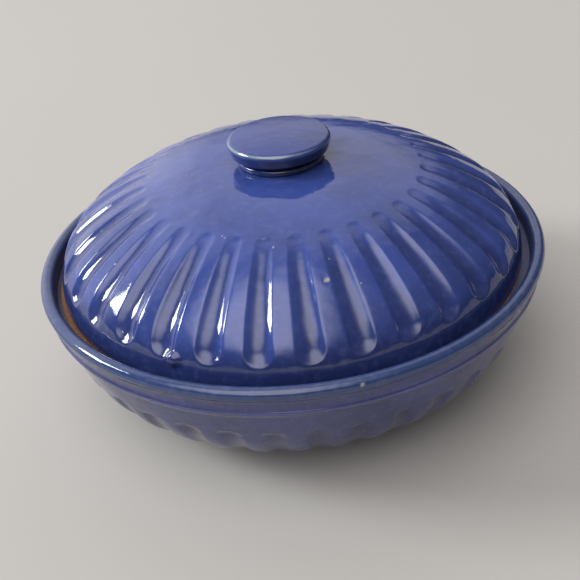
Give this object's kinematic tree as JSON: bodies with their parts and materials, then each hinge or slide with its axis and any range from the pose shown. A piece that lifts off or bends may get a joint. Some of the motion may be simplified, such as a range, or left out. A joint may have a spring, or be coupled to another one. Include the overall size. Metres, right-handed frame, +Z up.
{
  "type": "covered casserole dish",
  "caption": "Round glazed stoneware casserole dish with fluted sides and a fluted domed lid that lifts out of a gallery inside the rim by its button knob.",
  "frame": {"origin": "centre of the foot's underside, on the surface that the dish stands on", "axes": "+Z up along the axis that the dish, lid and knob are turned about; -Y is the front"},
  "size_m": [0.25, 0.25, 0.1278],
  "materials": {
    "dish_glaze": "gloss",
    "lid_glaze": "gloss",
    "knob_glaze": "gloss"
  },
  "bodies": {
    "dish": {"dish": "dish_glaze"},
    "lid": {"lid": "lid_glaze", "knob": "knob_glaze"}
  },
  "joints": [
    {"name": "lid_lift", "type": "slide", "parent": "dish", "child": "lid", "axis": [0, 0, 1], "range_m": [0, 0.12]}
  ]
}
